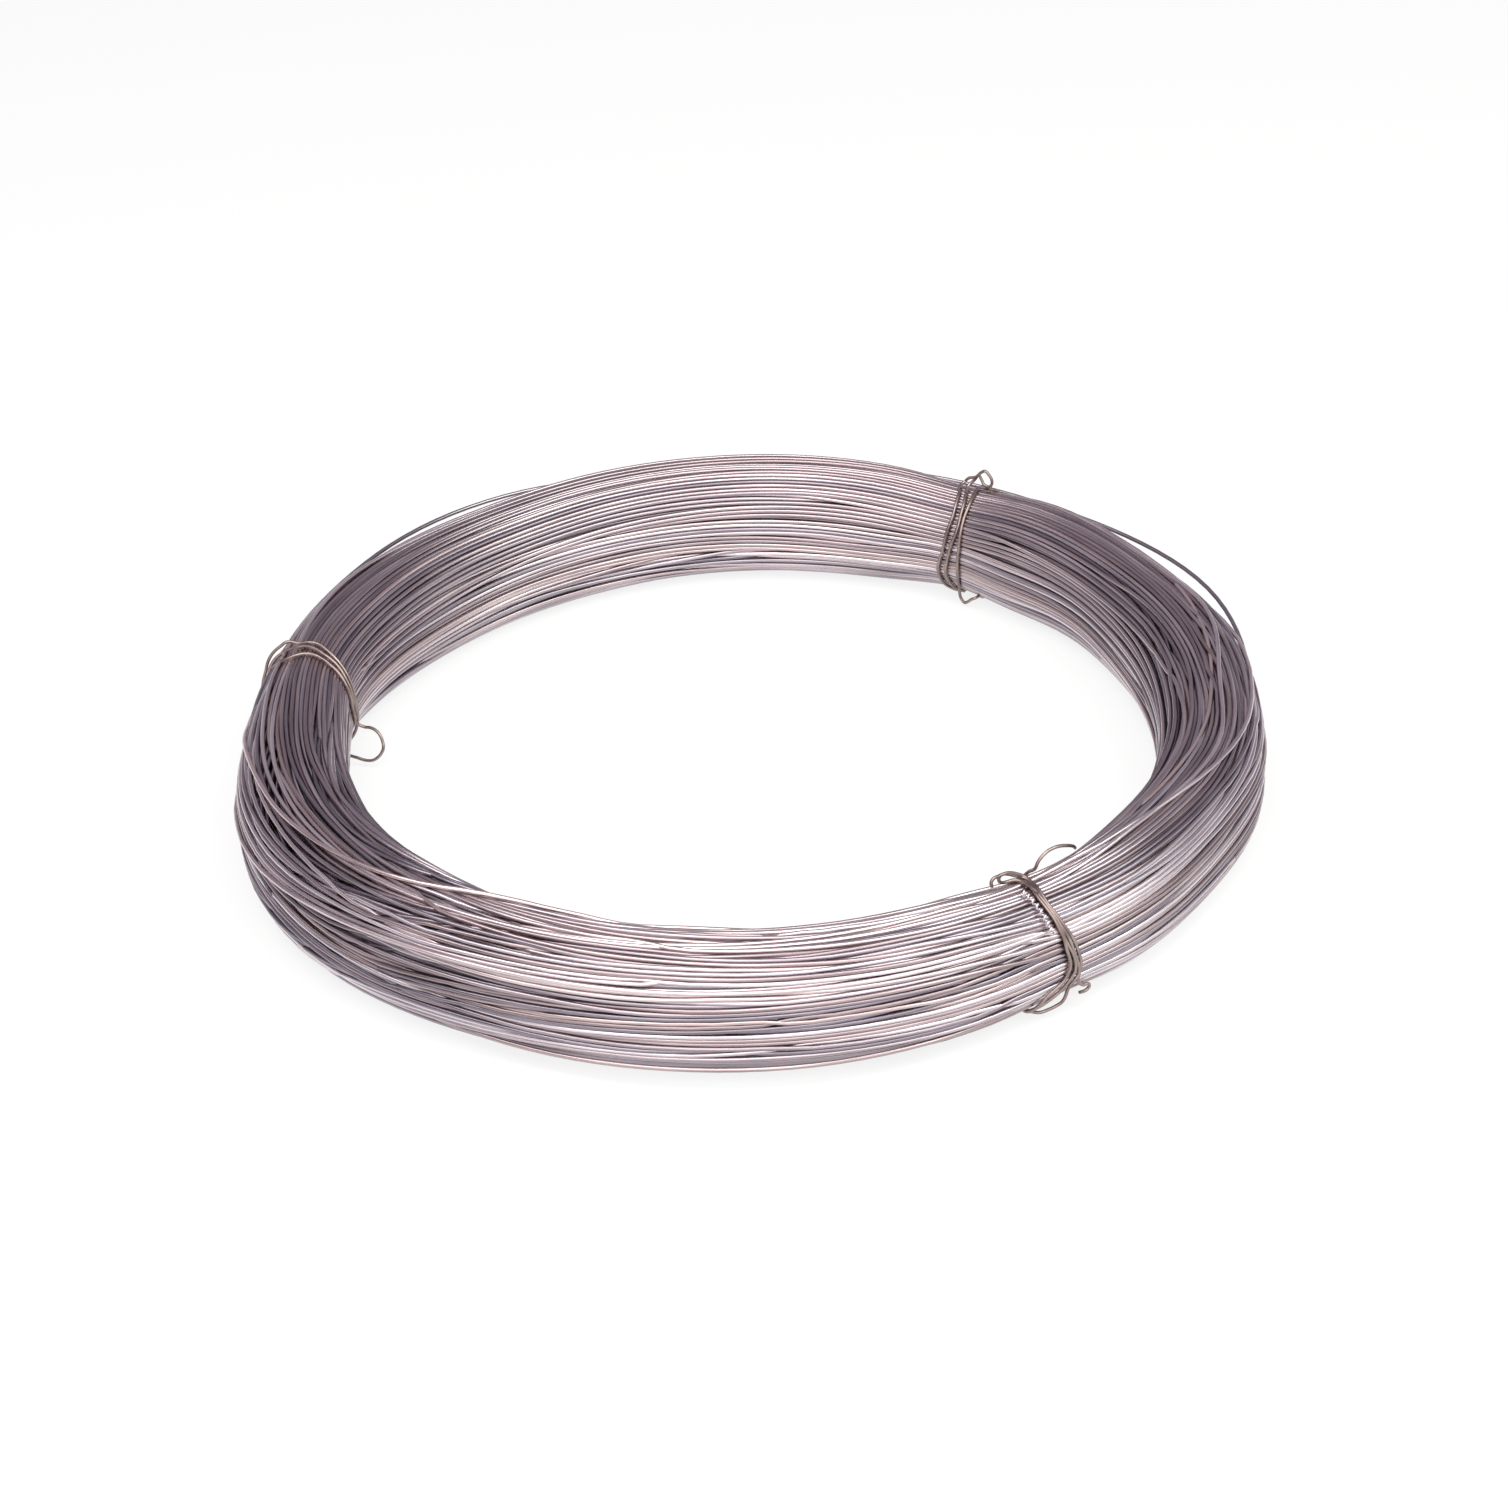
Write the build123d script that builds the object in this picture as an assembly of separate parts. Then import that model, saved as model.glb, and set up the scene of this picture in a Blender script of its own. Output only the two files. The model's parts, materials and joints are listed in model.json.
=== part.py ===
"""Coil of galvanized wire: one long wire wound in a ring and held by three tie wires.

The ring lies flat, its axis is Z, and the floor under it is Z = 0. The bundle is one
turned solid. The turns that show on it run round the ring side by side, so its section
has one small crown for each turn and a valley between two turns. Where a tie wire goes
round the bundle, it pulls the turns into a shallow neck, and lies in that neck.
"""

import math
import os

from build123d import *

# The bundle, in millimetres
bore_diameter = 317.0
bundle_width = 41.5
coil_height = 49.0
crown_radius = 18.0
foot_radius = 15.0

# The galvanized wire and how its turns show on the bundle
wire_diameter = 1.8
valley_depth = 0.4
land_width = 0.7

# The tie wires and the necks that they pull into the bundle
tie_diameter = 1.3
tie_clearance = 0.3
tie_recess = 0.2
neck_margin = 0.9

# Place of each tie round the ring, in degrees, with its strands and their spacing
left_azimuth = 167.5
left_strands = 3
left_pitch = 3.0
back_azimuth = 56.0
back_strands = 3
back_pitch = 3.2
front_azimuth = 304.0
front_strands = 4
front_pitch = 1.6

# The free ends of the ties: the left one's tucked end and round eye
tuck_height = 17.0
eye_radius = 5.4
eye_height = 13.6

# The back one's curl on top and hook in the bore
curl_rise = 6.5
curl_reach = 9.0
curl_bend = 2.6
hook_height = 4.2
hook_reach = 6.0
hook_bend = 2.2

# The front one's small curl on the inner shoulder and its loose loop
small_curl_reach = 15.0
small_curl_width = 5.2
small_curl_bend = 2.3
loop_rise = 3.0
loop_reach = 24.0
loop_bend = 2.5

# Worked out from the sizes above
coil_diameter = bore_diameter + 2 * bundle_width
ring_radius = (coil_diameter + bore_diameter) / 4
neck_depth = tie_diameter + tie_clearance + tie_recess
tie_offset = tie_clearance + tie_diameter / 2
path_half = bundle_width / 2 - neck_depth + tie_offset
path_top = coil_height - neck_depth + tie_offset
path_floor = neck_depth - tie_offset
on_top = coil_height + tie_offset


def rounding(radius, inset):
    """A shoulder's radius on the outline at an inset, with room left for one flat turn."""
    width = bundle_width - 2 * inset
    height = coil_height - 2 * inset
    return min(radius - inset, (width - wire_diameter) / 2, (height - wire_diameter) / 2)


path_inset = neck_depth - tie_offset
path_crown = rounding(crown_radius, path_inset)
path_foot = rounding(foot_radius, path_inset)


def outline(inset):
    """The section's outline as eight stretches, counter-clockwise from the floor, X the radius."""
    inner = bore_diameter / 2 + inset
    outer = coil_diameter / 2 - inset
    low = inset
    high = coil_height - inset
    foot = rounding(foot_radius, inset)
    crown = rounding(crown_radius, inset)
    return [
        Line((inner + foot, low), (outer - foot, low)),
        CenterArc((outer - foot, low + foot), foot, -90, 90),
        Line((outer, low + foot), (outer, high - crown)),
        CenterArc((outer - crown, high - crown), crown, 0, 90),
        Line((outer - crown, high), (inner + crown, high)),
        CenterArc((inner + crown, high - crown), crown, 90, 90),
        Line((inner, high - crown), (inner, low + foot)),
        CenterArc((inner + foot, low + foot), foot, 180, 90),
    ]


def valley(stretch, share):
    """The valley point at a share of a stretch, valley_depth inside the outline."""
    tangent = stretch % share
    outward = Vector(tangent.Y, -tangent.X)
    return stretch @ share - outward * valley_depth


def turns_along(stretch):
    """The turns that show along a stretch, each as two flanks and the flat land between them."""
    count = max(round(stretch.length / wire_diameter), 1)
    land = land_width / stretch.length
    edges = []
    for turn in range(count):
        start = valley(stretch, turn / count)
        end = valley(stretch, (turn + 1) / count)
        middle = (turn + 0.5) / count
        land_start = stretch @ (middle - land / 2)
        land_end = stretch @ (middle + land / 2)
        edges += [Line(start, land_start), Line(land_start, land_end), Line(land_end, end)]
    return edges


def section(inset):
    """The face of the bundle's section, in the plane of X and Z."""
    edges = []
    for stretch in outline(inset):
        edges += turns_along(stretch)
    return Plane.XZ * make_face(edges)


def neck_half_angle(strands, pitch):
    """Half the angle of the neck in which a tie's strands lie side by side."""
    half_width = (strands - 1) / 2 * pitch + tie_diameter / 2 + neck_margin
    return math.degrees(math.asin(half_width / (bore_diameter / 2)))


def wire_coil():
    """The bundle: a slim stretch at each tie, and a fuller one between each two ties."""
    ties = sorted([
        (left_azimuth, neck_half_angle(left_strands, left_pitch)),
        (back_azimuth, neck_half_angle(back_strands, back_pitch)),
        (front_azimuth, neck_half_angle(front_strands, front_pitch)),
    ])
    full_section = section(0)
    neck_section = section(neck_depth)
    stretches = []
    for index, (azimuth, half_angle) in enumerate(ties):
        next_azimuth, next_half_angle = ties[(index + 1) % len(ties)]
        start = azimuth + half_angle
        span = (next_azimuth - next_half_angle - start) % 360
        neck = revolve(neck_section, Axis.Z, revolution_arc=2 * half_angle)
        full = revolve(full_section, Axis.Z, revolution_arc=span)
        stretches += [Rot(0, 0, azimuth - half_angle) * neck, Rot(0, 0, start) * full]
    return stretches[0].fuse(*stretches[1:])


def first_along(strands, pitch):
    """Where a tie's first strand lies along the turns, its strands centred in the neck."""
    return -(strands - 1) / 2 * pitch


def over_the_top(along):
    """The two upper corners of a strand that goes inward over the top.

    Each corner is (outward, along the turns, up, bend radius), from the ring's mid radius.
    """
    return [
        (path_half, along, path_top, path_crown),
        (-path_half, along, path_top, path_crown),
    ]


def under_to_next(along, pitch):
    """The two lower corners of a strand that crosses under the bundle to the next place."""
    return [
        (-path_half, along, path_floor, path_foot),
        (path_half, along + pitch, path_floor, path_foot),
    ]


def wrap(strands, pitch):
    """Corners of a tie that goes down the bore, under, and up the outside, over and over."""
    corners = []
    for strand in range(strands - 1):
        along = first_along(strands, pitch) + strand * pitch
        corners += under_to_next(along, pitch) + over_the_top(along + pitch)
    return corners


def tie_wire(azimuth, start, corners, end):
    """A round wire along straight runs and tangent bends, placed at its azimuth."""
    points = [start] + [corner[:3] for corner in corners] + [end]
    radii = [corner[3] for corner in corners]
    path = FilletPolyline(*points, radius=radii)
    solid = sweep(Plane(path @ 0, z_dir=path % 0) * Circle(tie_diameter / 2), path=path)
    expected = math.pi * (tie_diameter / 2) ** 2 * path.length
    print(f"tie at {azimuth}: {path.length:.1f} mm of wire, volume ratio {solid.volume / expected:.4f}")
    return Rot(0, 0, azimuth) * Pos(ring_radius, 0, 0) * solid


def tie_wire_left():
    """One end is tucked against the outside, and the other stands in the bore as an eye."""
    first = first_along(left_strands, left_pitch)
    start = (path_half, first, tuck_height)
    near = -path_half
    far = near - 2 * eye_radius
    low = eye_height - 2 * eye_radius
    bend = 0.9 * eye_radius
    eye = [
        (near, -first, low, bend),
        (far, -first, low, bend),
        (far, -first + 0.6 * tie_diameter, eye_height, bend),
    ]
    end = (near - 1.5 * tie_diameter, -first + 1.2 * tie_diameter, eye_height)
    corners = over_the_top(first) + wrap(left_strands, left_pitch) + eye
    return tie_wire(left_azimuth, start, corners, end)


def tie_wire_back():
    """One end curls up on the top, and the other hooks sideways low in the bore."""
    first = first_along(back_strands, back_pitch)
    start = (curl_bend, first + curl_reach, on_top + curl_rise / 3)
    curl = [
        (2 * curl_bend, first + curl_reach / 2, on_top + curl_rise, curl_bend),
        (3 * curl_bend, first - curl_bend, on_top + curl_rise, curl_bend),
        (2 * curl_bend, first, path_top, curl_bend),
    ]
    standoff = -path_half - 2 * tie_diameter
    hook = [
        (-path_half, -first, 3 * hook_height, 2 * hook_bend),
        (standoff, -first, hook_height, hook_bend),
    ]
    end = (standoff, -first - hook_reach, 2 * hook_height)
    corners = curl + over_the_top(first)[1:] + wrap(back_strands, back_pitch) + hook
    return tie_wire(back_azimuth, start, corners, end)


def tie_wire_front():
    """One end curls on the inner shoulder, and the other stands up in a loose loop."""
    first = first_along(front_strands, front_pitch)
    shoulder = -path_half + path_crown / 3
    curl_end = first - small_curl_reach
    start = (shoulder + small_curl_width, curl_end + small_curl_width, on_top + tie_diameter)
    curl = [
        (shoulder + small_curl_width, curl_end, on_top + tie_diameter, small_curl_bend),
        (shoulder, curl_end, on_top, small_curl_bend),
        (shoulder, first - 2 * small_curl_bend, on_top, small_curl_bend),
        (-path_half, first, path_top - small_curl_bend, 2 * small_curl_bend),
    ]
    loop_top = on_top + loop_rise
    loop_foot_bend = min(loop_bend, 0.8 * path_half)
    loop = [
        (-path_half / 2, -first, path_top, loop_foot_bend),
        (-path_half / 2, -first + loop_reach / 8, loop_top, loop_bend),
        (-path_half / 2, -first + 2 * loop_reach / 3, loop_top, 2 * loop_bend),
    ]
    end = (-path_half / 2, -first + loop_reach, on_top - tie_diameter)
    corners = curl + wrap(front_strands, front_pitch)[:-1] + loop
    return tie_wire(front_azimuth, start, corners, end)


parts = {
    "wire_coil": wire_coil,
    "tie_wire_left": tie_wire_left,
    "tie_wire_back": tie_wire_back,
    "tie_wire_front": tie_wire_front,
}

os.makedirs("parts", exist_ok=True)
for name, make in parts.items():
    solid = make()
    export_step(solid, f"parts/{name}.step")
    print(name, "volume", round(solid.volume), "valid", solid.is_valid)
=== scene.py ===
# %% [markdown]
# # A coil of galvanized wire
#
# The real object is one long, stiff steel wire with a zinc coat, wound some four hundred times
# into a ring and held by three pieces of thinner, duller tie wire. The wound wire isn't a smooth
# tube: every turn is a little larger, smaller or more tilted than its neighbours, so turns cross,
# fan out between the ties and leave dark gaps. That is what this script makes. It first loads
# the measured solids, and reads the ring's sizes from them, so that both fit each other.

# %% Load the frame
import json
import math

import bpy
import numpy as np
from mathutils import Matrix, Quaternion, Vector


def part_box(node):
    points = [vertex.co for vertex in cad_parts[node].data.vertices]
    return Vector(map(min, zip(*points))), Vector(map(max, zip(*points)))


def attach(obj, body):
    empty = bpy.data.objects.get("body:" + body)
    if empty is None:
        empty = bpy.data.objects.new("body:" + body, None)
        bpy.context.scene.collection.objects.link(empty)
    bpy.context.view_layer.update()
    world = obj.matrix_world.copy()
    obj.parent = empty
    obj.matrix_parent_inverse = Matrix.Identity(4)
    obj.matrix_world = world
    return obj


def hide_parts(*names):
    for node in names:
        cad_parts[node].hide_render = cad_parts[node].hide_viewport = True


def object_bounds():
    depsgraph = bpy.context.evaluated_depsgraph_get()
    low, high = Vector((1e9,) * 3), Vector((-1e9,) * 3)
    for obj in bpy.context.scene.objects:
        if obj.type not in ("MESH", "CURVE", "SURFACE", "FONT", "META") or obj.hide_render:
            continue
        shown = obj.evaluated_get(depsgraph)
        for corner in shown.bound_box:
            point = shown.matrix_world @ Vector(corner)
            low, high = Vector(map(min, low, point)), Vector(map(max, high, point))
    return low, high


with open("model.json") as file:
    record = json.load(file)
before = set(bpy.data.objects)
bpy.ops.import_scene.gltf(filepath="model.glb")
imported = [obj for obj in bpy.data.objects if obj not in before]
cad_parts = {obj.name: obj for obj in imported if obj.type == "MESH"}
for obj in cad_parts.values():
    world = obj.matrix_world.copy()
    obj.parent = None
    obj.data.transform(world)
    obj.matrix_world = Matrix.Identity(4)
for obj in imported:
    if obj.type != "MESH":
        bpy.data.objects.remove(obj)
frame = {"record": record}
cad_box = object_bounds()
bpy.ops.object.select_all(action="DESELECT")
coil_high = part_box("wire_coil")[1]
mounts = {mount["name"]: mount for mount in frame["record"]["mounts"]}
MM = 0.001
outer_radius = coil_high.x
bore_radius = mounts["bore"]["dims"]["r_mm"] * MM
coil_height = coil_high.z
ring_radius = (outer_radius + bore_radius) / 2
print(f"ring {2 * outer_radius:.3f} m over all, bore {2 * bore_radius:.3f} m, "
      f"{coil_height:.3f} m high")

# %% [markdown]
# ## Camera
#
# The photograph looks down on the ring at about 32 degrees from well away, and its horizon leans
# a little. A camera is easiest to set from what it has to show: how far it stands, how high, and
# where in the picture the middle of the ring falls. It is turned towards the ring first, rolled
# about its own line of sight, and then nudged until the ring's middle falls at its place.

# %% Camera
photo_side = 1508
focal_pixels = 3753
sensor_width = 36
ring_middle_pixel = (750.4, 732.4)
camera_distance = 8.27 * ring_radius
camera_elevation = math.radians(32.1)
camera_roll = math.radians(2.7)

ring_middle = Vector((0, 0, coil_height / 2))
camera_data = bpy.data.cameras.new("photo_camera")
camera_data.sensor_width = sensor_width
camera_data.lens = focal_pixels / photo_side * sensor_width
camera = bpy.data.objects.new("photo_camera", camera_data)
bpy.context.scene.collection.objects.link(camera)
bpy.context.scene.camera = camera
line_of_sight = Vector((0, math.cos(camera_elevation), -math.sin(camera_elevation)))
camera.location = ring_middle - camera_distance * line_of_sight
across = (ring_middle_pixel[0] - photo_side / 2) / focal_pixels
down = (ring_middle_pixel[1] - photo_side / 2) / focal_pixels
nudge = Quaternion((0, 1, 0), math.atan(across)) @ Quaternion((1, 0, 0), math.atan(down))
roll = Quaternion((0, 0, 1), -camera_roll)
camera.rotation_mode = "QUATERNION"
camera.rotation_quaternion = line_of_sight.to_track_quat("-Z", "Y") @ nudge @ roll
print(f"lens {camera_data.lens:.1f} mm at {camera_distance:.2f} m")

# %% [markdown]
# ## Floor and light
#
# Bright metal shows its surroundings more than its own colour. Turns that run across the view
# mirror what hangs overhead and what is behind the viewer; turns that run away from the viewer
# mirror what is low behind the object. So the surroundings are dim and a little violet, with one
# wide, soft panel overhead, a cooler one beside it, one behind the viewer and a small one on the
# right. That gives what the photograph shows: the ring's near and far sides glow, its left and
# right go dark, and the glow turns from a warm to a cool grey towards its right-hand ends.
#
# The floor is plain and pale. Most of what the camera and the metal see of it is a white glow, and
# the rest is lit like any floor, so that it keeps the soft shadow of the object.

# %% Floor and light
def new_material(name):
    """An empty node material and its tree."""
    material = bpy.data.materials.new(name)
    material.use_nodes = True
    material.node_tree.nodes.clear()
    return material, material.node_tree


def add_node(tree, kind, **settings):
    """A node of a kind, with its settings; names with spaces are given as input_values."""
    node = tree.nodes.new(kind)
    for socket, value in settings.pop("input_values", {}).items():
        node.inputs[socket].default_value = value
    for name, value in settings.items():
        setattr(node, name, value)
    return node


floor_colour = (0.86, 0.86, 0.86, 1)
white = (1, 1, 1, 1)
floor_glow_share = 0.8

floor_material, tree = new_material("pale_floor")
diffuse = add_node(tree, "ShaderNodeBsdfDiffuse", input_values={"Color": floor_colour})
glow = add_node(tree, "ShaderNodeEmission", input_values={"Color": white, "Strength": 1.0})
light_path = add_node(tree, "ShaderNodeLightPath")
seen = add_node(tree, "ShaderNodeMath", operation="MAXIMUM")
seen_or_through = add_node(tree, "ShaderNodeMath", operation="MAXIMUM")
share = add_node(tree, "ShaderNodeMath", operation="MULTIPLY")
share.inputs[1].default_value = floor_glow_share
blend = add_node(tree, "ShaderNodeMixShader")
output = add_node(tree, "ShaderNodeOutputMaterial")
tree.links.new(light_path.outputs["Is Camera Ray"], seen.inputs[0])
tree.links.new(light_path.outputs["Is Glossy Ray"], seen.inputs[1])
tree.links.new(seen.outputs[0], seen_or_through.inputs[0])
tree.links.new(light_path.outputs["Is Transmission Ray"], seen_or_through.inputs[1])
tree.links.new(seen_or_through.outputs[0], share.inputs[0])
tree.links.new(share.outputs[0], blend.inputs[0])
tree.links.new(diffuse.outputs[0], blend.inputs[1])
tree.links.new(glow.outputs[0], blend.inputs[2])
tree.links.new(blend.outputs[0], output.inputs["Surface"])

floor_side = 60
bpy.ops.mesh.primitive_plane_add(size=floor_side)
floor = bpy.context.object
floor.name = "floor"
floor.data.materials.append(floor_material)

surroundings = (0.34, 0.302, 0.35)
world = bpy.data.worlds.new("dim_surroundings")
world.use_nodes = True
world.node_tree.nodes["Background"].inputs["Color"].default_value = (*surroundings, 1)
bpy.context.scene.world = world


def soft_panel(name, place, aim, size, watts, colour):
    """A rectangular soft light at a place, turned towards a point."""
    data = bpy.data.lights.new(name, "AREA")
    data.shape = "RECTANGLE"
    data.size, data.size_y = size
    data.energy = watts
    data.color = colour
    lamp = bpy.data.objects.new(name, data)
    bpy.context.scene.collection.objects.link(lamp)
    lamp.location = place
    lamp.rotation_mode = "QUATERNION"
    lamp.rotation_quaternion = (Vector(aim) - Vector(place)).to_track_quat("-Z", "Y")
    print(f"{name}: {watts} W at {place}")


warm = (1.0, 0.97, 0.92)
cool = (0.93, 1.0, 0.92)
soft_panel("overhead_panel", (-0.4, -0.45, 1.5), ring_middle, (1.6, 1.2), 22.5, warm)
soft_panel("right_overhead_panel", (0.9, -0.45, 1.5), ring_middle, (1.0, 1.2), 16.5, cool)
soft_panel("front_panel", (0.12, -1.5, 0.8), ring_middle, (3.0, 1.2), 23, warm)
soft_panel("side_panel", (1.8, -0.5, 0.8), ring_middle, (1.0, 1.0), 5.5, cool)
bpy.context.scene.view_settings.view_transform = "Standard"

# %% [markdown]
# ## The finish of the wire
#
# Galvanized wire is drawn through zinc: a semi-gloss grey with a mauve cast, brighter where it
# was wiped and duller where the coat is thick, and no two turns are quite alike. Drawing leaves
# fine streaks that follow the wire. A pattern that follows a thin wire can't be laid out in the
# object's coordinates alone, because a turn wanders outward and inward. So each point of a wire
# also knows how it lies from the wire's middle, in an attribute called from_middle. The middle is
# scaled by the streaks' length and what is left by their width, and the sum is where the noise
# is read. Each turn also carries turn_tone, which shifts the pattern, so neighbours never match.

# %% Node group: streaks that follow the wire
patch_width = 0.004
tone_shift = 97.0
hues_in_the_tones = 17.3


def link(tree, *pairs):
    """Links given as (output socket, input socket)."""
    for source, target in pairs:
        tree.links.new(source, target)


def vector_maths(tree, operation, *sources):
    """A vector maths node on sockets; a second source is a scale where the operation is SCALE."""
    node = add_node(tree, "ShaderNodeVectorMath", operation=operation)
    sockets = (node.inputs[0], node.inputs["Scale"] if operation == "SCALE" else node.inputs[1])
    link(tree, *zip(sources, sockets))
    return node.outputs[0]


def maths(tree, operation, first, second=None):
    """A maths node on sockets or numbers; returns its result."""
    node = add_node(tree, "ShaderNodeMath", operation=operation)
    for index, value in enumerate((first, second)):
        if isinstance(value, (int, float)):
            node.inputs[index].default_value = value
        elif value is not None:
            tree.links.new(value, node.inputs[index])
    return node.outputs[0]


def streaks_group():
    """Values from 0 to 1: patches some centimetres long, fine streaks, and a hue for each turn."""
    group = bpy.data.node_groups.new("streaks_along_wire", "ShaderNodeTree")
    face = group.interface
    defaults = {"Patch length": 0.03, "Streak length": 0.03, "Streak width": 0.0006,
                "Turn weight": 0.5}
    for name, value in defaults.items():
        socket = face.new_socket(name, in_out="INPUT", socket_type="NodeSocketFloat")
        socket.default_value = value
    for name in ("Tone", "Streaks", "Hue"):
        face.new_socket(name, in_out="OUTPUT", socket_type="NodeSocketFloat")
    given = add_node(group, "NodeGroupInput")
    result = add_node(group, "NodeGroupOutput")
    place = add_node(group, "ShaderNodeTexCoord").outputs["Object"]
    aside = add_node(group, "ShaderNodeAttribute", attribute_name="from_middle").outputs["Vector"]
    turn = add_node(group, "ShaderNodeAttribute", attribute_name="turn_tone").outputs["Fac"]
    middle = vector_maths(group, "SUBTRACT", place, aside)

    def noise(length, width, detail):
        along = vector_maths(group, "SCALE", middle, maths(group, "DIVIDE", 1.0, length))
        across = vector_maths(group, "SCALE", aside, maths(group, "DIVIDE", 1.0, width))
        texture = add_node(group, "ShaderNodeTexNoise", noise_dimensions="4D")
        texture.inputs["Scale"].default_value = 1.0
        texture.inputs["Detail"].default_value = detail
        link(group, (vector_maths(group, "ADD", along, across), texture.inputs["Vector"]),
             (maths(group, "MULTIPLY", turn, tone_shift), texture.inputs["W"]))
        return texture.outputs["Fac"]

    patches = noise(given.outputs["Patch length"], patch_width, 2.0)
    streaks = noise(given.outputs["Streak length"], given.outputs["Streak width"], 1.0)
    tone = add_node(group, "ShaderNodeMix", data_type="FLOAT")
    link(group, (given.outputs["Turn weight"], tone.inputs["Factor"]), (patches, tone.inputs["A"]),
         (turn, tone.inputs["B"]), (tone.outputs["Result"], result.inputs["Tone"]),
         (streaks, result.inputs["Streaks"]),
         (maths(group, "FRACT", maths(group, "MULTIPLY", turn, hues_in_the_tones)),
          result.inputs["Hue"]))
    return group


streaks_along_wire = streaks_group()
print(f"node group {streaks_along_wire.name}")


# %% Material: wire with a metal coat
def ramp(tree, source, stops):
    """A colour ramp fed by a value; stops are (place, colour)."""
    node = add_node(tree, "ShaderNodeValToRGB")
    elements = node.color_ramp.elements
    while len(elements) < len(stops):
        elements.new(0.5)
    for element, (place, colour) in zip(elements, stops):
        element.position = place
        element.color = (*colour, 1)
    tree.links.new(source, node.inputs["Fac"])
    return node.outputs["Color"]


def remap(tree, source, low, high):
    """The middle of a noise value, 0.3 to 0.7, stretched between two numbers."""
    node = add_node(tree, "ShaderNodeMapRange", input_values={
        "From Min": 0.3, "From Max": 0.7, "To Min": low, "To Max": high})
    tree.links.new(source, node.inputs["Value"])
    return node.outputs["Result"]


def coated_wire(name, tones, tints, roughness, streak_depth, lengths, turn_weight):
    """A metal wire. tones: dull, plain, bright; tints: one for each end of the turns' hues."""
    material, tree = new_material(name)
    group = add_node(tree, "ShaderNodeGroup")
    group.node_tree = streaks_along_wire
    group.inputs["Patch length"].default_value = lengths[0]
    group.inputs["Streak length"].default_value = lengths[1]
    group.inputs["Turn weight"].default_value = turn_weight
    metal = add_node(tree, "ShaderNodeBsdfPrincipled")
    metal.inputs["Metallic"].default_value = 1.0
    streaked = maths(tree, "ADD", group.outputs["Tone"],
                     remap(tree, group.outputs["Streaks"], -streak_depth, streak_depth))
    colour = ramp(tree, streaked, list(zip((0.15, 0.5, 0.85), tones)))
    tinted = add_node(tree, "ShaderNodeMix", data_type="RGBA", blend_type="MULTIPLY")
    tinted.inputs["Factor"].default_value = 1.0
    hue = ramp(tree, group.outputs["Hue"], list(zip((0.0, 1.0), tints)))
    output = add_node(tree, "ShaderNodeOutputMaterial")
    link(tree, (colour, tinted.inputs["A"]), (hue, tinted.inputs["B"]),
         (tinted.outputs["Result"], metal.inputs["Base Color"]),
         (remap(tree, group.outputs["Streaks"], *roughness), metal.inputs["Roughness"]),
         (metal.outputs["BSDF"], output.inputs["Surface"]))
    return material


zinc_wire = coated_wire(
    "zinc_coated_wire",
    tones=((0.235, 0.198, 0.222), (0.455, 0.395, 0.42), (0.82, 0.74, 0.75)),
    tints=((0.95, 1.0, 1.06), (1.04, 0.97, 0.93)),
    roughness=(0.24, 0.36), streak_depth=0.10, lengths=(0.04, 0.03), turn_weight=0.55)
annealed_tie = coated_wire(
    "annealed_tie_wire",
    tones=((0.16, 0.12, 0.12), (0.31, 0.245, 0.235), (0.50, 0.42, 0.40)),
    tints=((0.98, 1.0, 1.0), (1.02, 0.99, 0.96)),
    roughness=(0.34, 0.46), streak_depth=0.12, lengths=(0.008, 0.006), turn_weight=0.2)
print(f"materials {zinc_wire.name} and {annealed_tie.name}")

# %% [markdown]
# ## The shape of the bundle
#
# Seen in section, the bundle is a rounded box. It is slimmest under the ties, where the turns
# are pulled together. Between them it is a little fuller or slimmer, and at the front left the
# turns spread outwards most. The outline is a function of the azimuth, so that everything that
# lies on the bundle can ask it for a place.

# %% The bundle's outline
wire_radius = 0.9 * MM
neck_depth = 1.9 * MM
half_width = (outer_radius - bore_radius) / 2
half_height = coil_height / 2
shoulder = 17 * MM
tie_azimuths = {"left": 167.0, "back": 57.0, "front": 304.0}
neck_reach = 8.0
outer_edge_swells = ((210.0, 22.0, 6.5), (30.0, 14.0, -4.5), (62.0, 17.0, -4.5),
                     (268.0, 34.0, -3.0), (178.0, 12.0, -3.5), (154.0, 9.0, -1.5),
                     (124.0, 12.0, -2.6), (343.0, 10.0, 3.0))
inner_edge_swells = ((330.0, 22.0, -5.6), (313.0, 8.0, -2.2), (35.0, 11.0, -2.5),
                     (158.0, 14.0, -3.5), (90.0, 22.0, -1.6))
reach_steps = 25
tiny = 1e-9


def nearness(azimuth, place, reach):
    """1 at a place round the ring, falling smoothly to 0 a few reaches away; in degrees."""
    apart = (azimuth - place + 180) % 360 - 180
    return np.exp(-((apart / reach) ** 2))


def pinch(azimuth):
    """1 under a tie, 0 between the ties."""
    return np.max([nearness(azimuth, tie, neck_reach) for tie in tie_azimuths.values()], axis=0)


def swell(azimuth, swells):
    """How far an edge of the bundle swells out; swells are (azimuth, reach, size in mm)."""
    return sum(size * MM * nearness(azimuth, place, reach) for place, reach, size in swells)


def bundle_shape(azimuth):
    """Half width, half height and the outward shift of the section's middle."""
    pull = neck_depth * pinch(azimuth)
    outer = swell(azimuth, outer_edge_swells)
    inner = swell(azimuth, inner_edge_swells)
    return half_width - pull + (outer + inner) / 2, half_height - pull, (outer - inner) / 2


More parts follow.
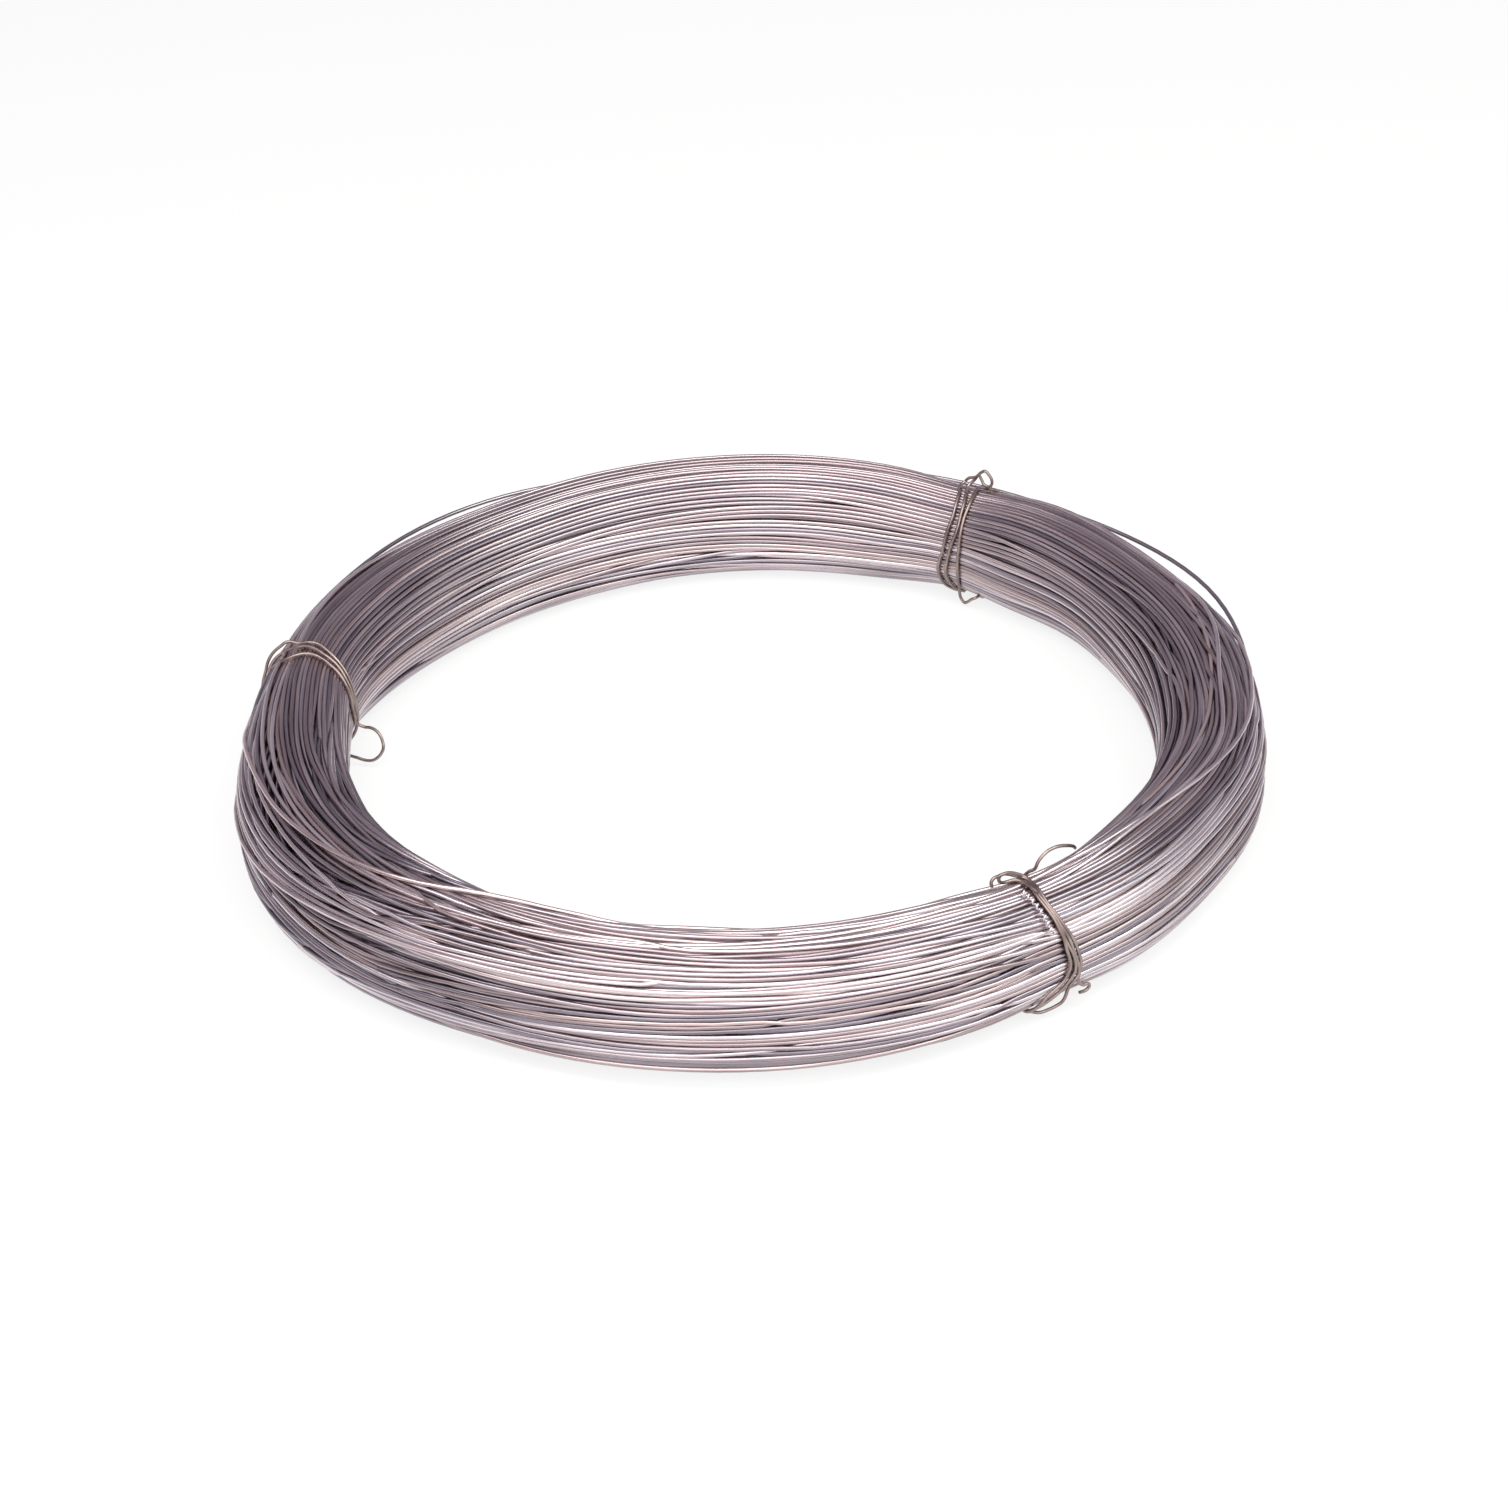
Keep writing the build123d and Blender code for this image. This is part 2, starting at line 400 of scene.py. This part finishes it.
def box_distance(u, v, wide, high, corner):
    """Signed distance from points to a rounded box, and the outward direction there."""
    past_u = np.abs(u) - (wide - corner)
    past_v = np.abs(v) - (high - corner)
    round_u, round_v = np.maximum(past_u, 0), np.maximum(past_v, 0)
    reach = np.hypot(round_u, round_v)
    distance = reach + np.minimum(np.maximum(past_u, past_v), 0) - corner
    safe = np.maximum(reach, tiny)
    side_u = np.where(reach > tiny, round_u / safe, past_u > past_v) * np.sign(u)
    side_v = np.where(reach > tiny, round_v / safe, past_u <= past_v) * np.sign(v)
    return distance, side_u, side_v


def on_outline(azimuth, angle, depth):
    """Section place (outward, up) at an angle round the section, at a depth under its outline."""
    wide, high, shift = bundle_shape(np.asarray(azimuth, float))
    along_u, along_v = np.cos(np.radians(angle)), np.sin(np.radians(angle))
    reach = np.full(np.broadcast(wide, along_u).shape, 2 * half_height)
    for _ in range(reach_steps):
        distance = box_distance(reach * along_u, reach * along_v, wide, high, shoulder)[0]
        reach = reach - distance - depth
    return np.stack([shift + reach * along_u, reach * along_v], -1)


print(f"bundle {2 * half_width / MM:.1f} mm wide and {coil_height / MM:.1f} mm high")

# %% [markdown]
# ## Where the turns start
#
# The turns lie in layers, one inside the other, close together at the surface and looser in the
# middle, which doesn't show. They aren't quite evenly spaced. Turns that were wound one after the
# other lie side by side and move together, in bands, along their layer and across it; each turn
# adds a little of its own. These waves are small where the coil is calm, as at the ties, and large
# where it is restless: at the front left, where the bands fan out and cross, and on the right.
#
# A few turns are given one by one: one that bridges the slim stretch at the back right, loose ones
# along the front and the back left, and bright ones that cross the bundle. Their places are pairs
# of azimuth and angle round the section, or azimuth, radius and height.

# %% Turns in layers and listed turns
layers = ((0.9, 1.90), (2.5, 1.92), (4.1, 1.95), (5.8, 2.0), (7.6, 2.1), (9.5, 2.2), (11.5, 2.4),
          (13.5, 2.6))
least_depth = 0.9
deepest = 14.5
start_scatter = 0.22
depth_scatter = 0.5
own_share_across = 0.5
turns_in_a_band = 5
outer_band_waves = (((1, 7.5), (2, 5), (3, 2.6)), ((1, 1.2), (2, 1.1), (3, 0.8)))
inner_band_waves = (((1, 3.5), (2, 2), (3, 1.2)), ((1, 0.8), (2, 0.6)))
own_waves = ((1, 1.5), (2, 1.2), (3, 0.9), (5, 0.4))
stations = 120
outline_points = 721
random = np.random.default_rng(11)
unevenness = np.random.default_rng(7)
station_azimuth = np.arange(stations) * 360 / stations
wide, high, shift = bundle_shape(station_azimuth)
calm_waves = 0.24
restless_places = ((216, 28, 0.85), (350, 24, 0.45), (275, 30, 0.3))
restless = sum((size * nearness(station_azimuth, place, reach)
                for place, reach, size in restless_places), start=calm_waves)
restless = restless * (1 - 0.5 * pinch(station_azimuth))


def slow_waves(count, sizes):
    """Random waves round the ring: sizes are (waves in a turn, usual height in millimetres)."""
    angle = np.radians(station_azimuth)
    total = np.zeros((count, stations))
    for waves, height in sizes:
        heights = random.normal(0, height, (count, 1))
        phases = random.uniform(0, 2 * math.pi, (count, 1))
        total += heights * np.cos(waves * angle + phases)
    return total * restless


def layer(depth, spacing, is_outer):
    """The turns of one layer, spread unevenly round the section; neighbours move in bands."""
    angles = np.linspace(0, 360, outline_points)
    outline = on_outline(90.0, angles, depth * MM)
    lengths = np.concatenate([[0], np.cumsum(np.hypot(*np.diff(outline, axis=0).T))]) / MM
    count = round(lengths[-1] / spacing)
    uneven = np.arange(count) + random.uniform() + unevenness.normal(0, start_scatter, count)
    start = uneven * lengths[-1] / count
    band = np.cumsum(random.uniform(size=count) < 1 / turns_in_a_band)
    band_along, band_across = outer_band_waves if is_outer else inner_band_waves
    along = slow_waves(band[-1] + 1, band_along)[band] + slow_waves(count, own_waves)
    across = slow_waves(band[-1] + 1, band_across)[band]
    across = across + own_share_across * slow_waves(count, own_waves)
    across += random.normal(0, depth_scatter, (count, 1))
    place = np.interp((start[:, None] + along) % lengths[-1], lengths, angles)
    depths = np.clip(depth + across, least_depth, deepest)
    return on_outline(station_azimuth[None], place, depths * MM)


laid_reach = 9
smoothing_rounds = 3


def all_round(azimuths, values):
    """Values given at some azimuths, brought to every station, smoothly round the ring."""
    order = np.argsort(azimuths)
    given, sorted_values = np.array(azimuths)[order], np.array(values, float)[order]
    dense = np.interp(station_azimuth, given, sorted_values, period=360)
    for _ in range(smoothing_rounds):
        dense = (np.roll(dense, 1) + 2 * dense + np.roll(dense, -1)) / 4
    return dense


def laid_over(points):
    """A turn that lies on the bundle: points are (azimuth, angle round the section)."""
    azimuths, angles = zip(*points)
    angle = all_round(azimuths, angles)
    near = np.max([nearness(station_azimuth, azimuth, laid_reach) for azimuth in azimuths], axis=0)
    return on_outline(station_azimuth, angle, (least_depth - 2 * least_depth * near) * MM)


def laid_beside(points):
    """A turn that stands off the bundle: points are (azimuth, radius, height) in millimetres."""
    azimuths, radii, heights = zip(*points)
    radius = all_round(azimuths, radii) * MM
    height = all_round(azimuths, heights) * MM
    return np.stack([radius - ring_radius, height - half_height], -1)


hand_laid = np.array([
    laid_over([(160, 20), (173, 22), (185, 45), (194, 60), (200, 62), (206, 66), (210, 70),
               (218, 77), (224, 86), (230, 96), (234, 108), (239, 118), (245, 124), (262, 128),
               (300, 130), (60, 40)]),
    laid_over([(186, 4), (193, 9), (200, 15), (207, 21), (214, 27), (222, 32), (236, 38), (250, 40),
               (60, 50)]),
    laid_over([(12, 66), (5, 72), (0, 80), (353, 84), (347, 82), (341, 78), (336, 80), (330, 86),
               (320, 92), (150, 70)]),
    laid_over([(6, 40), (0, 46), (354, 52), (348, 58), (342, 66), (336, 74), (329, 84), (321, 94),
               (310, 104), (170, 60)]),
    laid_beside([(48, 194, 41), (38, 196, 41.5), (33, 198, 41.5), (28, 200.4, 41),
                 (22, 202.2, 40.5), (17, 202.3, 40), (12, 200.8, 39.5), (7, 199.4, 39.5),
                 (3, 198, 40), (352, 192, 42), (300, 190, 42), (200, 196, 38), (120, 194, 40)]),
    laid_beside([(98, 196, 36), (107, 199, 38), (114, 201.2, 40.5), (122, 202, 41.5),
                 (130, 201.8, 42), (138, 200.6, 41.5), (146, 197.6, 41), (168, 193, 40),
                 (220, 198, 34), (300, 193, 34), (30, 193, 32)]),
    laid_beside([(235, 198, 9), (248, 197.8, 8), (257, 198.2, 8.5), (265, 198.8, 9),
                 (274, 198.7, 9), (282, 197.6, 9), (291, 196, 9), (300, 193, 10), (30, 194, 12),
                 (120, 194, 12), (200, 198, 12)]),
])
in_layers = [layer(depth, spacing, index < 2) for index, (depth, spacing) in enumerate(layers)]
places = np.concatenate([*in_layers, hand_laid])
turn_count = len(places)
held = len(hand_laid)
print(f"{turn_count - held} turns in {len(layers)} layers and {held} hand-laid turns")

# %% [markdown]
# ## Settling the turns
#
# Where turns lie in each other they are pushed apart, and those that leave the bundle are pulled
# back in. Steel is stiff, so each turn passes a push on along its length: what is smoothed is how
# far a turn has been moved from its own waves. The listed turns stay put and the others make way.
# After enough rounds little overlaps, and crossings and gaps look real. The deepest overlaps that
# are left are where two listed turns cross, because neither gives way.

# %% Settle the turns
settling_rounds = 140
stiffness = 0.35
least_spacing = 2.02 * wire_radius
neighbour_reach = 3.3 * MM
push_share = 0.45
largest_push = 0.6 * MM
pull_back_share = 0.6
usual_slack = 0.35 * MM
headroom = 3 * MM
least_distance = 1e-7
large_overlap = 0.3 * MM
natural = places.copy()
slack = np.abs(random.normal(0, usual_slack, (turn_count, 1))) * (1 - pinch(station_azimuth))


def touching_pairs(places, reach):
    """Indices of turns that lie within reach of each other, at every station."""
    first, second = [], []
    for station in range(stations):
        here = places[:, station].astype(np.float32)
        apart = ((here[:, None] - here[None]) ** 2).sum(-1)
        i, j = np.nonzero(np.triu(apart < reach * reach, 1))
        first.append(i * stations + station)
        second.append(j * stations + station)
    return np.concatenate(first), np.concatenate(second)


def keep_inside(places):
    """Pull turns back that stand further out of the bundle than their slack."""
    u, v = places[:, :, 0] - shift, places[:, :, 1]
    outside, side_u, side_v = box_distance(
        u, v, wide - wire_radius, high - wire_radius, shoulder - wire_radius)
    back = np.maximum(outside - slack, 0) * pull_back_share
    places[:, :, 0] -= side_u * back
    lowest, highest = wire_radius - half_height, half_height + headroom
    places[:, :, 1] = np.clip(places[:, :, 1] - side_v * back, lowest, highest)


for settling_round in range(settling_rounds):
    if settling_round % 10 == 0:
        first, second = touching_pairs(places, neighbour_reach)
    moved = places - natural
    places += stiffness * ((np.roll(moved, 1, 1) + np.roll(moved, -1, 1)) / 2 - moved)
    flat = places.reshape(-1, 2)
    apart = flat[first] - flat[second]
    distance = np.maximum(np.hypot(apart[:, 0], apart[:, 1]), least_distance)
    push = apart * (np.maximum(least_spacing - distance, 0) * push_share / distance)[:, None]
    for axis in (0, 1):
        onwards = np.bincount(first, push[:, axis], len(flat))
        backwards = np.bincount(second, push[:, axis], len(flat))
        flat[:, axis] += np.clip(onwards - backwards, -largest_push, largest_push)
    keep_inside(places)
    places[-held:] = natural[-held:]

overlap = 2 * wire_radius - distance
print(f"{turn_count} turns settled; worst overlap {overlap.max() / MM:.2f} mm, "
      f"{(overlap > large_overlap).mean() * 100:.1f} % of the neighbours overlap by more than "
      f"{large_overlap / MM:.1f} mm")

# %% [markdown]
# ## Making the turns
#
# One turn is modelled by hand: a circle is added, divided, made a chain of short straight runs and
# given a round bevel. Every other turn is a copy of it with its points moved to the places found
# above. Deep turns hardly show, so they get fewer points. Turned into meshes, the turns carry their
# tone, which is painted darker for a turn that lies under others: painted shade, standing in for
# the light that doesn't reach between the turns. They are then joined in groups small enough to
# handle.

# %% The turns as meshes
segments = 144
deep_segments = 72
sides_shown = 8
sides_deep = 6
shown_depth = 3.8 * MM
# Painted shade: turns that lie under others are painted darker, up to this much, growing from this
# depth over this many millimetres, in place of the shade between the turns.
largest_painted_shade = 0.34
painted_shade_starts = 1.3
painted_shade_over = 2.6
tone_middle = 0.54
tone_spread = 0.27
hand_laid_tones = (0.98, 0.9, 0.95, 0.9, 0.35, 0.3, 0.4)


def first_turn(name, points, sides):
    """A circle of the wire's thickness, made of short straight runs, as an object."""
    bpy.ops.curve.primitive_bezier_circle_add(radius=ring_radius)
    turn = bpy.context.object
    turn.name = name
    bpy.ops.object.mode_set(mode="EDIT")
    bpy.ops.curve.select_all(action="SELECT")
    bpy.ops.curve.subdivide(number_cuts=points // 4 - 1)
    bpy.ops.curve.spline_type_set(type="POLY")
    bpy.ops.object.mode_set(mode="OBJECT")
    turn.data.dimensions = "3D"
    turn.data.twist_mode = "Z_UP"
    turn.data.bevel_depth = wire_radius
    turn.data.bevel_resolution = sides // 2 - 2
    return turn


def resample(values, count):
    """Closed curves of places, brought to another number of points without losing smoothness."""
    waves = np.fft.rfft(values, axis=1)
    return np.fft.irfft(waves, count, axis=1) * count / values.shape[1]


def ring_points(section_places):
    """Section places (outward, up) round the ring as points in space, with the curve's weight."""
    count = section_places.shape[0]
    angle = np.arange(count) * 2 * math.pi / count
    radius = ring_radius + section_places[:, 0]
    height = half_height + section_places[:, 1]
    places = np.stack([radius * np.cos(angle), radius * np.sin(angle), height], -1)
    low, high = (np.array(corner) for corner in cad_box)
    places = np.clip(places, low + wire_radius, high - wire_radius)
    return np.concatenate([places, np.ones((count, 1))], -1)


def mark_wire(mesh, tone, sides):
    """Gives a wire's mesh its tone, and each of its points how it lies from the wire's middle."""
    points = len(mesh.vertices)
    place = np.empty(points * 3, np.float32)
    mesh.vertices.foreach_get("co", place)
    rings = place.reshape(-1, sides, 3)
    aside = rings - rings.mean(axis=1, keepdims=True)
    turn_tone = mesh.attributes.new("turn_tone", "FLOAT", "POINT")
    turn_tone.data.foreach_set("value", np.full(points, tone, np.float32))
    from_middle = mesh.attributes.new("from_middle", "FLOAT_VECTOR", "POINT")
    from_middle.data.foreach_set("vector", aside.ravel())
    return np.linalg.norm(aside, axis=2).max()


def as_mesh_piece(curves, tones, name, material):
    """Curves turned into one smooth mesh piece that carries each curve's tone."""
    sides = 2 * curves[0].data.bevel_resolution + 4
    bpy.ops.object.select_all(action="DESELECT")
    for curve in curves:
        curve.select_set(True)
    bpy.context.view_layer.objects.active = curves[0]
    bpy.ops.object.convert(target="MESH")
    reach = max(mark_wire(curve.data, tone, sides) for curve, tone in zip(curves, tones))
    if len(curves) > 1:
        bpy.ops.object.join()
    piece = bpy.context.object
    piece.name = name
    piece.data.materials.clear()
    piece.data.materials.append(material)
    bpy.ops.object.shade_smooth()
    bpy.ops.object.select_all(action="DESELECT")
    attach(piece, "root")
    triangles = sum(len(face.vertices) - 2 for face in piece.data.polygons)
    print(f"{name}: {len(curves)} wires, {triangles} triangles, radius up to {reach / MM:.2f} mm")
    return piece


def build_turns(name, section_places, tones, sides):
    """Turns of the same kind as one mesh piece."""
    model = first_turn(name, section_places.shape[1], sides)
    turns = [model]
    for _ in range(len(section_places) - 1):
        copy = model.copy()
        copy.data = model.data.copy()
        bpy.context.scene.collection.objects.link(copy)
        turns.append(copy)
    for turn, turn_places in zip(turns, section_places):
        turn.data.splines[0].points.foreach_set("co", ring_points(turn_places).ravel())
    return as_mesh_piece(turns, tones, name, zinc_wire)


outside, _, _ = box_distance(places[:, :, 0] - shift, places[:, :, 1], wide, high, shoulder)
depth = (-outside).min(axis=1)
order = np.argsort(depth)
shown = order[depth[order] < shown_depth]
deep = order[depth[order] >= shown_depth]
usual_depth = (-outside).mean(axis=1) / MM
# Painted shade: each turn's tone is made darker the deeper it usually lies.
painted_shade = largest_painted_shade * np.clip((usual_depth - painted_shade_starts) / painted_shade_over, 0, 1)
tones = np.clip(random.normal(tone_middle, tone_spread, turn_count) - painted_shade, 0, 1)
tones[-held:] = hand_laid_tones
print(f"{len(shown)} turns come near the surface, {len(deep)} stay deep")

group_size = 80
for index, start in enumerate(range(0, len(shown), group_size)):
    chosen = shown[start:start + group_size]
    build_turns(
        f"outer_turns_{index + 1}", resample(places[chosen], segments), tones[chosen], sides_shown)
for index, start in enumerate(range(0, len(deep), 2 * group_size)):
    chosen = deep[start:start + 2 * group_size]
    build_turns(
        f"deep_turns_{index + 1}", resample(places[chosen], deep_segments), tones[chosen],
        sides_deep)
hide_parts("wire_coil")

# %% [markdown]
# ## The ties
#
# Each tie is a piece of thinner wire, wrapped round the bundle a few times by hand and left with
# its ends curled or standing free. A strand hugs the bundle, so it is described by where it runs
# on it: pairs of an angle round the section and a shift along the turns. Free stretches are given
# as points beside the bundle: outward from the bundle's middle, along the turns, and height. The
# wire is then a curve with smooth handles through all of these points.

# %% Tie wires: helpers
tie_radius = 0.65 * MM
tie_clearance = 0.25 * MM
tie_tone = 0.5
lowest_middle = 1.2


class TiePlace:
    """Places on and beside the bundle, seen from a tie; all lengths are in millimetres."""

    def __init__(self, azimuth):
        self.azimuth = azimuth

    def free(self, outward, along, height):
        """A point beside the bundle."""
        turned = Matrix.Rotation(math.radians(self.azimuth), 4, "Z")
        height = max(height, lowest_middle)
        return turned @ Vector((ring_radius + outward * MM, along * MM, height * MM))

    def on(self, angle, along, lift=0.0):
        """A point of a strand that lies on the bundle, lifted off it where lift isn't 0."""
        azimuth = self.azimuth + math.degrees(along * MM / ring_radius)
        outward, up = on_outline(azimuth, angle, -(tie_radius + tie_clearance + lift * MM))
        return self.free(outward / MM, along, (half_height + up) / MM)

    def strand(self, *pairs):
        """Several points of a strand: (angle, along) or (angle, along, lift)."""
        return [self.on(*pair) for pair in pairs]


def tie_curve(name, points):
    """A wire through points, with smooth handles."""
    bpy.ops.curve.primitive_bezier_curve_add()
    wire = bpy.context.object
    wire.name = name
    spline = wire.data.splines[0]
    spline.bezier_points.add(len(points) - 2)
    for knot, point in zip(spline.bezier_points, points):
        knot.co = point
        knot.handle_left_type = knot.handle_right_type = "AUTO"
    spline.resolution_u = 5
    wire.data.dimensions = "3D"
    wire.data.bevel_depth = tie_radius
    wire.data.bevel_resolution = 3
    wire.data.use_fill_caps = True
    return wire


def build_tie(name, wires):
    """A tie of one or more wires as one mesh piece that stands for its plain solid."""
    curves = [tie_curve(f"{name}_{index}", points) for index, points in enumerate(wires)]
    tones = [tie_tone] * len(curves)
    tie = as_mesh_piece(curves, tones, f"{name}_shaped", annealed_tie)
    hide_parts(name)


# %% The left tie: three strands and a round eye
left = TiePlace(tie_azimuths["left"])
left_wire = [
    left.free(20.0, 1.5, 13), left.free(21.0, 1.5, 20), left.free(21.6, 1.2, 27),
    left.free(20.8, 0.8, 32), left.free(19.5, 0, 36.5), left.free(18.4, -1, 40.5),
    left.free(16.6, -2.5, 43.6), left.free(13.6, -4, 46.2), left.free(10.6, -5.2, 48),
    *left.strand((76, -5.9), (86, -5.8), (96, -5.4), (106, -3.4), (126, 0), (150, 2), (172, 1.6),
                 (200, 0.4), (222, 0.5), (245, 1), (270, 1.5), (295, 2), (320, 2.5), (345, 3),
                 (10, 3.2), (28, 3), (43, 0.4, 1.2), (60, -2.4, 0.6), (77, -2.7), (87, -2.7),
                 (97, -1.4), (105, 0.1), (116, 1.4), (126, 2.6), (138, 4.3), (150, 5), (172, 4.0),
                 (193, 1.6), (210, 0.6), (228, 1), (250, 1.5), (272, 2), (295, 2.5), (320, 3),
                 (345, 3), (10, 2.4), (28, 2), (43, 2.2), (57, 4.2), (67, 5.0), (74, 4.6),
                 (82, 3.6), (89, 2.9), (97, 2.9), (107, 3.8), (116, 5), (126, 5.8), (134, 6.6),
                 (144, 7.4), (156, 7.6), (175, 6.6), (193, 4.4), (204, 2.6)),
    left.free(-20.6, 2.0, 14.6), left.free(-22.6, 2.5, 14.9), left.free(-25.3, 3.5, 14.6),
    left.free(-27.7, 5, 13.2), left.free(-28.9, 6, 10.5), left.free(-29.3, 7, 8.8),
    left.free(-28.6, 7.5, 6.7), left.free(-26.9, 8, 4.5), left.free(-24.8, 8.5, 3.2),
    left.free(-21.8, 8.5, 2.9), left.free(-18, 8, 3.5), left.free(-14.5, 7, 3.6),
]
build_tie("tie_wire_left", [left_wire])

# %% The back tie: three spread strands, twisted on top, with a slack bight below
back = TiePlace(tie_azimuths["back"])
back_wire = [
    back.free(3, -9.5, 48.4), back.free(3, -8.3, 48.9), back.free(3, -6.3, 49.6),
    back.free(3.4, -4.9, 51.4), back.free(3.6, -3.5, 52.8), back.free(3.3, -2, 51.9),
    back.free(3, 0.9, 50.9), back.free(3, 2.9, 48.8),
    *back.strand((88, 3.4), (97, 1.4), (110, 0), (120, -0.8), (129, -1.1), (137, -0.75),
                 (144, -0.25), (153, 0.25), (167, 1.25), (177, 1.9), (190, 3.2), (203, 4),
                 (215, 3.7), (226, 3), (238, 1), (250, -1), (272, -3), (295, -4), (320, -5),
                 (345, -5.5), (10, -5.5), (30, -5), (50, -4.2), (67, -3.8), (83, -4), (94, -5.1),
                 (107, -6), (119, -6.4), (128, -6.5), (138, -6.5), (151, -6.5), (163, -6.3),
                 (178, -5.7), (192, -5.5), (204, -5.6), (217, -5.2), (228, -4.6)),
    back.free(-16.2, -4.9, 4.2), back.free(-16.2, -5.8, 2.6), back.free(-16.4, -7.1, 1.8),
    back.free(-16.6, -8.6, 2.6), back.free(-17, -10.8, 4.6), back.free(-16.4, -12.6, 5.6),
    *back.strand((238, -12.5), (255, -12), (275, -11), (298, -10), (320, -9.5), (345, -9), (10, -9),
                 (30, -9), (50, -9), (66, -8.8)),
    back.free(3, -7.8, 48.4), back.free(3, -9.7, 49.8), back.free(3, -10.2, 52.2),
    back.free(3, -8.8, 54.7), back.free(3, -6.9, 56.1), back.free(3, -5.4, 55.3),
    back.free(2.6, -3.5, 53.3), back.free(2.8, -2, 51),
    *back.strand((84, 0.2, 0.5), (92, -1), (100, -2.2), (110, -3.6), (123, -4.5), (132, -4.8),
                 (142, -4.6), (151, -3.7), (163, -2.3), (175, -1.3), (190, -0.3), (203, 0.5),
                 (214, 0), (224, -0.8), (236, -2), (252, -3)),
]
build_tie("tie_wire_back", [back_wire])

# %% The front tie: four strands, a loose arc, a curled eye and a small hook
front = TiePlace(tie_azimuths["front"])
right_strand = ((93, -0.7), (80, -1.75), (67, -2.6), (58, -2.2), (48, -1.25), (39, -0.1), (29, 1.5),
                (17, 3), (2, 4.5), (-11, 5.1), (-20, 4.6), (-28, 2.9), (-36, 0.9))
left_strand = ((96, -1.75), (76, -4.25), (63, -4.25), (53, -3.6), (44, -3.1), (35, -2.25),
               (23, -0.8), (10, 1.25), (-5, 2.6), (-15, 2.6), (-24, 0.6), (-36, -3), (-46, -7),
               (-56, -10.5), (-68, -12))
inner_strand = ((95, -0.9), (80, -3), (65, -3.3), (50, -2.4), (38, -2), (28, -1.9), (18, -1.4),
                (6, -0.2), (-5, 0.4), (-15, -0.6), (-23, -2.6), (-28, -5.8), (-34, -9.5),
                (-44, -12), (-60, -13))
front_wire = [
    front.free(-8, -14.1, 48.6), front.free(-8, -14.4, 50.6), front.free(-8, -13.2, 51.9),
    front.free(-8, -11.2, 51.9), front.free(-8, -9, 51.9), front.free(-7.6, -6.5, 51),
    front.free(-7.2, -4.2, 49.6), front.free(-6.4, -1.6, 48.4),
    *front.strand(*right_strand),
    front.free(16.6, -1.4, 6.2), front.free(15.6, -3.4, 4.6), front.free(14.8, -6.4, 3.8),
    front.free(13.6, -10, 3.4),
    *front.strand((-64, -12), (-82, -11), (-100, -9), (-120, -7), (-140, -5), (-160, -4),
                  (180, -3.5), (160, -3), (140, -2.6), (124, -2.2), (110, -2), *left_strand),
    *front.strand((-85, -11), (-102, -8), (-120, -5), (-140, -3), (-160, -1.5), (180, -1),
                  (158, -0.6), (138, -0.4), (122, -0.4), (108, -0.6), *inner_strand),
    *front.strand((-80, -11), (-100, -7), (-120, -3), (-140, 0), (-160, 2), (180, 3.2), (160, 4),
                  (140, 4.4)),
    front.free(-11.5, 5.6, 44.8), front.free(-10, 7.2, 46.2), front.free(-9.6, 8.2, 48.6),
    front.free(-9.4, 9.7, 50.4), front.free(-9.2, 12, 51.9), front.free(-9, 14.8, 52.5),
    front.free(-9, 17.6, 52.2), front.free(-9.2, 20.4, 51.2), front.free(-9.6, 23.2, 49.8),
    front.free(-10.4, 25.6, 48.1), front.free(-11.6, 27.4, 46),
]
hook_strand = ((-28, 4.2), (-20, 4.4), (-11, 4.1), (2, 2.9), (17, 1.3), (29, 0), (41, -1.5),
               (58, -3.1), (76, -3), (88, -1.6))
second_wire = [
    front.free(17.3, 5.9, 7.3), front.free(17, 8.7, 6.6), front.free(17.1, 10.1, 7.2),
    front.free(17.3, 10.5, 8.4), front.free(17.5, 9.6, 9.6), front.free(17.5, 7.2, 10.2),
    *front.strand(*hook_strand),
    front.free(-5.5, -0.6, 48.3), front.free(-7, -3.2, 50), front.free(-7.6, -6, 51.4),
    front.free(-7.8, -8.6, 52), front.free(-8, -10.4, 51.6), front.free(-8, -10.9, 50.1),
    front.free(-8, -9.5, 48.4), front.free(-8, -7.2, 47.8), front.free(-7, -4.6, 48),
    *front.strand((97, -3.2, 0.4), (88, -3.6, 0.9), (79, -3.7, 1.0)),
]
build_tie("tie_wire_front", [front_wire, second_wire])

# %% [markdown]
# ## The wound end
#
# Beside the front tie a short, bright end of wire is wound into a small coil that lies across the
# turns. In the picture it is a row of glints. It is a helix: its middle runs down the shoulder of
# the bundle, and each step swings sideways and upwards round that middle.

# %% A small helix of bright wire
wound_turns = 8
steps_in_a_turn = 6
wound_swing = 0.7
wound_radius = 0.45 * MM
first_angle, last_angle = 87, 40
first_along, drift_along = -7.4, 0.5
wound_sink = 0.2
wound_tone = 1.0
wound_steps = wound_turns * steps_in_a_turn
wound_end = []
for step in range(wound_steps + 1):
    share = step / wound_steps
    swing = 2 * math.pi * step / steps_in_a_turn
    angle = first_angle + (last_angle - first_angle) * share
    along = first_along + drift_along * share + wound_swing * math.cos(swing)
    wound_end.append((angle, along, wound_swing * (1 + math.sin(swing)) - wound_sink))
wound_curve = tie_curve("wound_end", front.strand(*wound_end))
wound_curve.data.bevel_depth = wound_radius
as_mesh_piece([wound_curve], [wound_tone], "wound_end_of_wire", zinc_wire)
